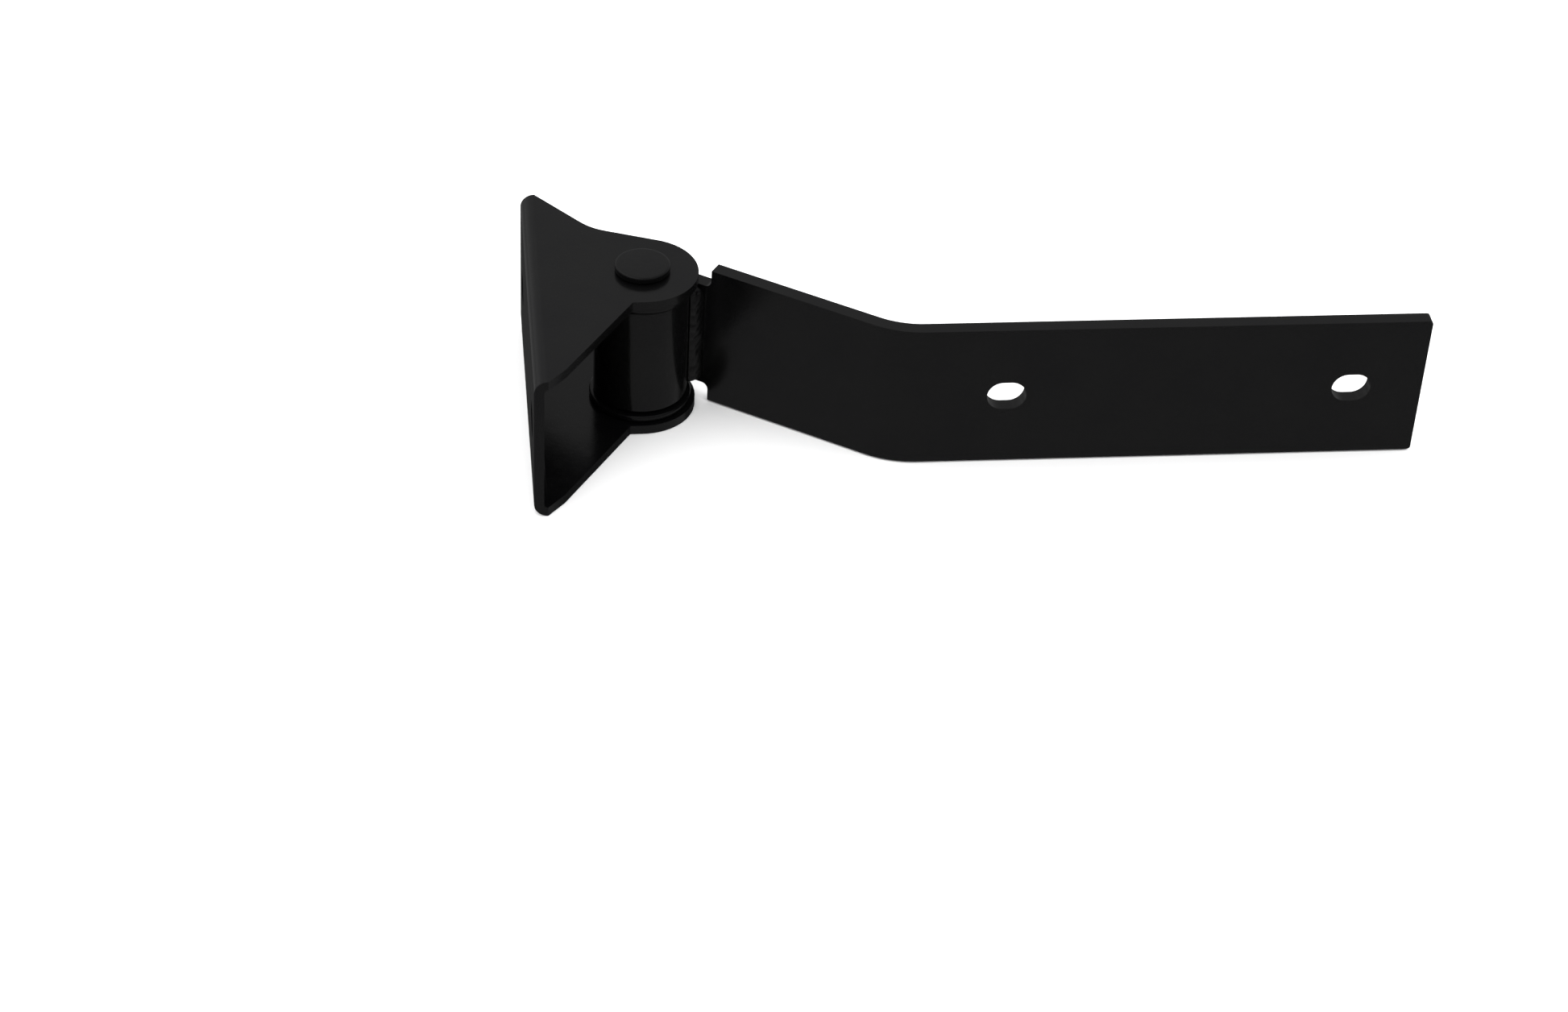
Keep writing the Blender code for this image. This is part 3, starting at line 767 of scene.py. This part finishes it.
def turned_piece(name, profile, edge, finish):
    """A closed shape turned from (radius, height) points. A profile that starts off the axis makes a ring."""
    links = [(i, i + 1) for i in range(len(profile) - 1)]
    if profile[0][0] > 0.0:
        links.append((len(profile) - 1, 0))
    mesh = bpy.data.meshes.new(name)
    mesh.from_pydata([(radius, height, 0.0) for radius, height in profile], links, [])
    piece = new_object(name, mesh)
    run_tree(piece, lathe_tree, edge_rounding=edge, finish=finish)
    return faced_out(settle(piece))


def faced_out(obj):
    """Merges the doubles of a turned piece or a bead, whose faces are even already, and turns its faces outwards."""
    shape = bmesh.new()
    shape.from_mesh(obj.data)
    bmesh.ops.remove_doubles(shape, verts=shape.verts, dist=MERGE)
    bmesh.ops.recalc_face_normals(shape, faces=shape.faces)
    shape.to_mesh(obj.data)
    shape.free()
    return obj


def ring_profile(node, drop=0.0, rise=0.0):
    """The square-cornered section of a packed ring, about the pin's middle. Its top can be lowered by drop and its
    foot raised by rise."""
    bore, outer = reach_of(node)
    low, high = (corner.z - PIN_CENTRE.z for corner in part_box(node))
    low, high = low + rise, high - drop
    return [(bore, high), (outer, high), (outer, low), (bore, low)]


class HingeOperator:
    """What every operator of the hinge shares."""

    bl_options = {"REGISTER", "UNDO"}

    @property
    def sizes(self):
        return bpy.context.scene.hinge_sizes

    @property
    def finish(self):
        return bpy.context.scene.hinge_finish


class HINGE_OT_bracket(HingeOperator, bpy.types.Operator):
    """Cuts and folds the post bracket"""

    bl_idname = "hinge.bracket"
    bl_label = "Post bracket"

    def execute(self, context):
        sizes, finish = self.sizes, self.finish
        coat = powder_coat("black_powder_coat_on_plate", finish, smooth=0.16, rough=0.22)
        bracket, bend_line, middle = bracket_blank(sizes, finish.plate_edge)
        fold = {"bend_line": bend_line, "middle_radius": middle, "bend_angle": math.pi / 2, "finish": coat}
        for side in (1.0, -1.0):
            run_tree(bracket, press_brake_tree, side=side, **fold)
        settle(bracket)
        web = WEB_OUTSIDE + sizes.plate / 2
        stand = Matrix(((0, 1, 0, web), (0, 0, 1, 0), (1, 0, 0, 0), (0, 0, 0, 1)))
        finished(bracket, "bracket", FIXED_BODY, stand)
        return {"FINISHED"}


class HINGE_OT_pin(HingeOperator, bpy.types.Operator):
    """Turns the headed pin and the two thrust washers"""

    bl_idname = "hinge.pin"
    bl_label = "Pin and washers"

    def execute(self, context):
        sizes, finish = self.sizes, self.finish
        coat = powder_coat("black_powder_coat_on_pin", finish, smooth=0.18, rough=0.26, coarser=1.4, deeper=3.0)
        low, high = (corner.z - PIN_CENTRE.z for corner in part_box("hinge_pin"))
        head = reach_of("hinge_pin")[1]
        shank = sizes.pin / 2
        seat = high - sizes.head_thickness
        shares = [i / CROWN_STEPS for i in range(CROWN_STEPS + 1)]
        crown = [(head * share, high - sizes.head_crown * share**2) for share in shares]
        shank_end = (shank, low + sizes.rivet_depth)
        stem = [(head, seat), (shank, seat), shank_end, (shank + sizes.rivet_spread, low), (0.0, low)]
        pin = turned_piece("riveted_pin", crown + stem, finish.turned_edge, coat)
        finished(pin, "hinge_pin", FIXED_BODY)
        ring_coat = powder_coat("black_powder_coat_on_washer", finish, smooth=0.18, rough=0.26)
        for name, drop, rise in (("upper", 0.0, sizes.running_gap), ("lower", sizes.running_gap, 0.0)):
            section = ring_profile(name + "_washer", drop, rise)
            washer = turned_piece(name + "_thrust_washer", section, finish.turned_edge, ring_coat)
            finished(washer, name + "_washer", FIXED_BODY)
        return {"FINISHED"}


class HINGE_OT_barrel(HingeOperator, bpy.types.Operator):
    """Turns the knuckle barrel and finishes the bushings in it"""

    bl_idname = "hinge.barrel"
    bl_label = "Knuckle barrel"

    def execute(self, context):
        finish = self.finish
        coat = powder_coat("black_powder_coat_on_tube", finish, smooth=0.14, rough=0.2)
        barrel = turned_piece("barrel_tube", ring_profile("knuckle_barrel"), finish.turned_edge, coat)
        finished(barrel, "knuckle_barrel", TURNING_BODY)
        bronze = sintered_bronze("sintered_bronze")
        for node in ("upper_bushing", "lower_bushing"):
            obj = frame["nodes"][node]
            obj.data.materials.clear()
            obj.data.materials.append(bronze)
        return {"FINISHED"}


class HINGE_OT_strap(HingeOperator, bpy.types.Operator):
    """Cuts and cranks the strap"""

    bl_idname = "hinge.strap"
    bl_label = "Cranked strap"

    def execute(self, context):
        sizes, finish = self.sizes, self.finish
        coat = powder_coat("black_powder_coat_on_bar", finish, smooth=0.16, rough=0.22)
        barrel_low, barrel_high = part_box("knuckle_barrel")
        blank, bend_line, middle, turn = strap_blank(
            sizes, finish.plate_edge, reach_of("knuckle_barrel")[1], (barrel_high.z - barrel_low.z) / 2
        )
        fold = {"bend_line": bend_line, "middle_radius": middle, "bend_angle": sizes.crank, "finish": coat}
        run_tree(blank, press_brake_tree, **fold)
        finished(settle(blank), "strap", TURNING_BODY, turn)
        return {"FINISHED"}


class HINGE_OT_welds(HingeOperator, bpy.types.Operator):
    """Lays the two weld beads between the neck and the barrel"""

    bl_idname = "hinge.welds"
    bl_label = "Weld beads"

    def execute(self, context):
        sizes, finish = self.sizes, self.finish
        coat = powder_coat("black_powder_coat_on_weld", finish, smooth=0.16, rough=0.26)
        low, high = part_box("near_weld_bead")
        barrel_reach = reach_of("knuckle_barrel")[1]
        seat_reach = barrel_reach + WELD_SEAT

        near_angle = math.asin(sizes.crank_offset / seat_reach)
        near_seat = arc((0.0, 0.0), seat_reach, near_angle - sizes.weld_leg / seat_reach, near_angle)
        strap_toe = near_seat[-1] + Vector((sizes.weld_leg, 0.0))
        near_bead = near_seat + bulged(strap_toe, near_seat[0], sizes.weld_bulge)[:-1]

        end_face = math.sqrt((barrel_reach + GAP) ** 2 - sizes.crank_offset**2)
        far_angle = math.acos(end_face / seat_reach) if end_face < seat_reach else 0.0
        far_seat = arc((0.0, 0.0), seat_reach, far_angle, far_angle + sizes.weld_lap)
        crown = Vector((end_face, sizes.crank_offset + sizes.bar))
        far_bead = far_seat + bulged(far_seat[-1], crown, sizes.weld_bulge)[1:]

        turn = Matrix.Rotation(-sizes.crank, 4, "Z")
        beads = (("near", near_bead, near_seat[-1]), ("far", far_bead, far_seat[0]))
        for seed, (side, outline, root) in enumerate(beads, finish.ripple_seed):
            node = side + "_weld_bead"
            count = len(outline)
            points = [(*(point - root), 0.0) for point in outline]
            mesh = bpy.data.meshes.new(node)
            mesh.from_pydata(points, [(i, (i + 1) % count) for i in range(count)], [])
            bead = new_object(side + "_bead_run", mesh)
            run_tree(
                bead,
                weld_bead_tree,
                bead_length=high.z - low.z,
                ripple_pitch=finish.ripple_pitch,
                ripple_height=finish.ripple_height,
                seed=float(seed),
                finish=coat,
            )
            faced_out(settle(bead))
            place = turn @ Matrix.Translation(root.to_3d())
            finished(bead, node, TURNING_BODY, place, WELD_SLACK)
        return {"FINISHED"}


class HINGE_OT_stage(HingeOperator, bpy.types.Operator):
    """Sets the pale floor, the soft lights and the camera"""

    bl_idname = "hinge.stage"
    bl_label = "Stage"

    def execute(self, context):
        stage = context.scene.hinge_stage
        mesh = bpy.data.meshes.new("floor")
        half = stage.floor / 2
        corners = [(-half, -half, 0.0), (half, -half, 0.0), (half, half, 0.0), (-half, half, 0.0)]
        mesh.from_pydata(corners, [], [(0, 1, 2, 3)])
        mesh.materials.append(backdrop_paper("white_backdrop_paper"))
        floor = new_object("floor", mesh)
        floor.location.z = -FLOOR_DROP

        # The gloss mirrors only the room, so neither the floor nor the light above shows in it.
        floor.visible_glossy = False
        context.scene.world = studio_room(stage)

        light = bpy.data.lights.new("overhead_softbox", "AREA")
        light.shape = "SQUARE"
        light.size = stage.overhead_size
        light.energy = stage.overhead
        lamp = bpy.data.objects.new("overhead_softbox", light)
        lamp.location = (0.0, 0.0, stage.overhead_height)
        lamp.visible_glossy = False
        context.scene.collection.objects.link(lamp)

        lens = bpy.data.cameras.new("camera")
        lens.lens = stage.camera_lens
        lens.sensor_width = 36.0
        lens.clip_end = 50.0
        camera = bpy.data.objects.new("camera", lens)
        camera.location = stage.camera_place
        camera.rotation_euler = stage.camera_turn
        context.scene.collection.objects.link(camera)
        context.scene.camera = camera
        context.scene.view_settings.view_transform = "Standard"
        return {"FINISHED"}


class HINGE_PT_panel(bpy.types.Panel):
    """Lists the hinge's sizes, finish and operators in the sidebar."""

    bl_idname = "HINGE_PT_panel"
    bl_label = "T hinge"
    bl_space_type = "VIEW_3D"
    bl_region_type = "UI"
    bl_category = "T hinge"

    def draw(self, context):
        for operator in OPERATORS:
            self.layout.operator(operator.bl_idname)
        for group in (context.scene.hinge_sizes, context.scene.hinge_finish, context.scene.hinge_stage):
            box = self.layout.box()
            for name in group.__annotations__:
                box.prop(group, name)


OPERATORS = (HINGE_OT_bracket, HINGE_OT_pin, HINGE_OT_barrel, HINGE_OT_strap, HINGE_OT_welds, HINGE_OT_stage)
GROUPS = (("hinge_sizes", HingeSizes), ("hinge_finish", HingeFinish), ("hinge_stage", HingeStage))


def register():
    for name, group in GROUPS:
        bpy.utils.register_class(group)
        setattr(bpy.types.Scene, name, PointerProperty(type=group))
    for made in (*OPERATORS, HINGE_PT_panel):
        bpy.utils.register_class(made)


def unregister():
    for made in (HINGE_PT_panel, *reversed(OPERATORS)):
        bpy.utils.unregister_class(made)
    for name, group in reversed(GROUPS):
        delattr(bpy.types.Scene, name)
        bpy.utils.unregister_class(group)


def main():
    register()
    bpy.ops.hinge.bracket()
    bpy.ops.hinge.pin()
    bpy.ops.hinge.barrel()
    bpy.ops.hinge.strap()
    bpy.ops.hinge.welds()
    bpy.ops.hinge.stage()


if __name__ == "__main__":
    main()
